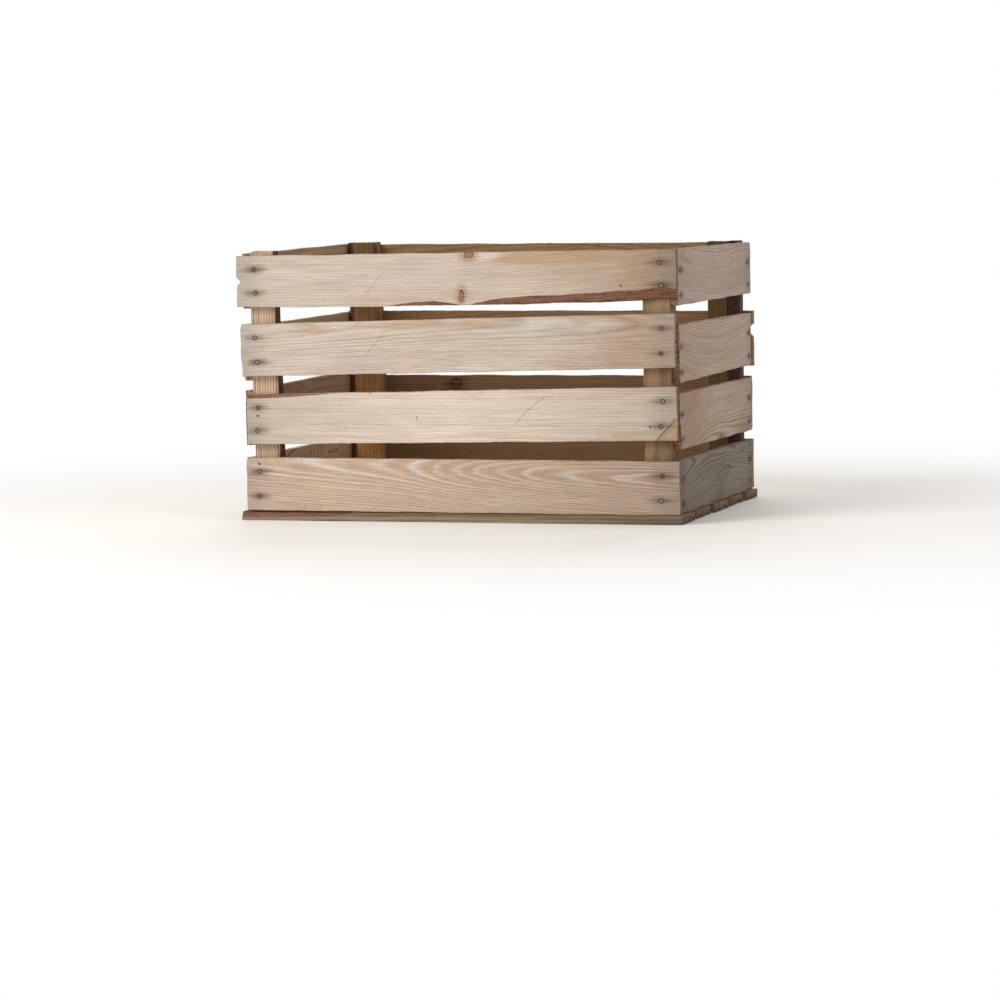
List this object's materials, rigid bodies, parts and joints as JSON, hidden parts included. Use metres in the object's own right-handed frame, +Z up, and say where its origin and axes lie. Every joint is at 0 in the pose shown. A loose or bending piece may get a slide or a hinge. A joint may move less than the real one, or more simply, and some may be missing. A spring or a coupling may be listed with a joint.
{
  "type": "wooden fruit crate",
  "caption": "Open slatted wooden fruit crate: spaced rough-sawn side slats nailed to corner posts inside, over a spaced slat floor.",
  "frame": {"origin": "on the surface the crate stands on, under the middle of its bounding box", "axes": "+X to the right along the long side, +Y from the front wall to the rear wall, +Z up"},
  "size_m": [0.508, 0.36, 0.3055],
  "materials": {
    "front_slats": "rough-sawn pale softwood, dry, lightly greyed, rust-stained round the nails",
    "rear_slats": "rough-sawn softwood, browned",
    "right_slats": "rough-sawn softwood, weathered grey",
    "left_slats": "rough-sawn softwood, weathered grey-brown",
    "posts": "sawn softwood with strong straight growth rings and some bark edge",
    "floor_slats": "rough-sawn softwood, weathered grey-brown",
    "nails": "rusted wire nails"
  },
  "bodies": {
    "root": {"front_slat_1": "front_slats", "front_slat_2": "front_slats", "front_slat_3": "front_slats", "front_slat_4": "front_slats", "rear_slat_1": "rear_slats", "rear_slat_2": "rear_slats", "rear_slat_3": "rear_slats", "rear_slat_4": "rear_slats", "right_slat_1": "right_slats", "right_slat_2": "right_slats", "right_slat_3": "right_slats", "right_slat_4": "right_slats", "left_slat_1": "left_slats", "left_slat_2": "left_slats", "left_slat_3": "left_slats", "left_slat_4": "left_slats", "post_front_left": "posts", "post_front_right": "posts", "post_rear_left": "posts", "post_rear_right": "posts", "floor_slat_1": "floor_slats", "floor_slat_2": "floor_slats", "floor_slat_3": "floor_slats", "floor_slat_4": "floor_slats", "floor_slat_5": "floor_slats", "front_nails": "nails", "rear_nails": "nails", "right_nails": "nails", "left_nails": "nails", "floor_nails": "nails"}
  },
  "joints": []
}
